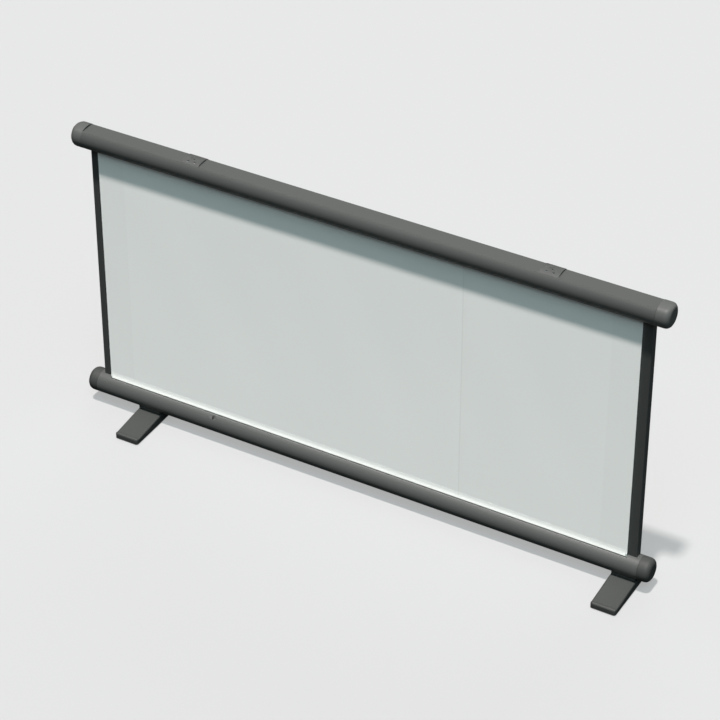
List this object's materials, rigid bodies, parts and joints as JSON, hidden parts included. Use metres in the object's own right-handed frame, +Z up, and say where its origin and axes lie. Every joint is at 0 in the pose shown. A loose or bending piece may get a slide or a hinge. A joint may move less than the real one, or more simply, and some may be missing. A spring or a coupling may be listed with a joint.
{
  "type": "projector screen",
  "caption": "Free-standing roll-down projector screen: spring roller in a round casing, side posts, round base tube, sliding swivel feet and a weighted hem bar.",
  "frame": {"origin": "centre of the footprint, on the plane that the feet rest on", "axes": "+X along the casing and the base tube, to the right as seen from the viewing side; +Y from the viewing side to the back; +Z up"},
  "size_m": [1.504, 0.184, 0.7707],
  "materials": {
    "satin_grey_enamel": "satin dark grey enamel on extruded and cast aluminium",
    "black_powder_coat": "fine black powder coat",
    "matt_white_sheet": "matt coated cloth",
    "white_enamel": "satin white enamel on extruded aluminium",
    "zinc_plated_steel": "zinc plated",
    "mill_aluminium": "mill finish",
    "natural_nylon": "moulded",
    "black_rubber": "moulded"
  },
  "bodies": {
    "frame": {"casing": "satin_grey_enamel", "casing_cap_left": "satin_grey_enamel", "casing_cap_right": "satin_grey_enamel", "end_plate_left": "zinc_plated_steel", "end_plate_right": "zinc_plated_steel", "end_plate_screw_1": "zinc_plated_steel", "end_plate_screw_2": "zinc_plated_steel", "end_plate_screw_3": "zinc_plated_steel", "end_plate_screw_4": "zinc_plated_steel", "idle_bush": "natural_nylon", "mandrel": "zinc_plated_steel", "roller_spring": "zinc_plated_steel", "screen_fabric": "matt_white_sheet", "post_left": "black_powder_coat", "post_right": "black_powder_coat", "post_anchor_top_left": "natural_nylon", "post_anchor_top_right": "natural_nylon", "post_anchor_base_left": "natural_nylon", "post_anchor_base_right": "natural_nylon", "post_screw_1": "black_powder_coat", "post_screw_2": "black_powder_coat", "post_screw_3": "black_powder_coat", "post_screw_4": "black_powder_coat", "base_tube": "satin_grey_enamel", "base_cap_left": "satin_grey_enamel", "base_cap_right": "satin_grey_enamel", "hem_cushion": "black_rubber", "catch_spring": "zinc_plated_steel"},
    "screen": {"hem_bar": "white_enamel", "hem_plug_left": "white_enamel", "hem_plug_right": "white_enamel"},
    "roller": {"roller_tube": "mill_aluminium", "fabric_roll": "matt_white_sheet", "spring_driver": "natural_nylon", "roller_bush": "natural_nylon", "idle_plug": "natural_nylon"},
    "left_saddle": {"saddle_left": "satin_grey_enamel", "saddle_screw_1": "zinc_plated_steel", "saddle_screw_2": "zinc_plated_steel"},
    "right_saddle": {"saddle_right": "satin_grey_enamel", "saddle_screw_3": "zinc_plated_steel", "saddle_screw_4": "zinc_plated_steel"},
    "left_carrier": {"foot_block_left": "black_powder_coat", "foot_nut_left": "zinc_plated_steel", "foot_bolt_left": "zinc_plated_steel", "foot_washer_left": "natural_nylon"},
    "right_carrier": {"foot_block_right": "black_powder_coat", "foot_nut_right": "zinc_plated_steel", "foot_bolt_right": "zinc_plated_steel", "foot_washer_right": "natural_nylon"},
    "left_foot": {"foot_arm_left": "satin_grey_enamel", "foot_pad_left_front": "black_rubber", "foot_pad_left_rear": "black_rubber"},
    "right_foot": {"foot_arm_right": "satin_grey_enamel", "foot_pad_right_front": "black_rubber", "foot_pad_right_rear": "black_rubber"},
    "catch": {"catch_button": "black_powder_coat"}
  },
  "joints": [
    {"name": "screen_travel", "type": "slide", "parent": "frame", "child": "screen", "axis": [0, 0, 1], "range_m": [0, 0.629], "deforming": ["screen_fabric"]},
    {"name": "roller_spin", "type": "hinge", "parent": "frame", "child": "roller", "pos_m": [0, 0.032, 0.7447], "axis": [1, 0, 0], "range_deg": [-3133, 0]},
    {"name": "left_saddle_slide", "type": "slide", "parent": "frame", "child": "left_saddle", "axis": [1, 0, 0], "range_m": [-0.26, 0.4]},
    {"name": "right_saddle_slide", "type": "slide", "parent": "frame", "child": "right_saddle", "axis": [1, 0, 0], "range_m": [-0.44, 0.22]},
    {"name": "left_foot_slide", "type": "slide", "parent": "frame", "child": "left_carrier", "axis": [1, 0, 0], "range_m": [-0.11, 0.25]},
    {"name": "right_foot_slide", "type": "slide", "parent": "frame", "child": "right_carrier", "axis": [1, 0, 0], "range_m": [-0.36, 0.004]},
    {"name": "left_foot_swivel", "type": "hinge", "parent": "left_carrier", "child": "left_foot", "pos_m": [-0.575, 0.032, 0.02], "axis": [0, 0, 1], "range_deg": [0, 90]},
    {"name": "right_foot_swivel", "type": "hinge", "parent": "right_carrier", "child": "right_foot", "pos_m": [0.686, 0.032, 0.02], "axis": [0, 0, 1], "range_deg": [-90, 0]},
    {"name": "catch_press", "type": "slide", "parent": "frame", "child": "catch", "axis": [0, 0, -1], "range_m": [0, 0.0025], "stiffness_N_per_m": 400, "springref_m": -0.002, "deforming": ["catch_spring"]}
  ],
  "couplings": [
    {"joint": "roller_spin", "follows": "screen_travel", "rad_per_m": -86.68}
  ]
}
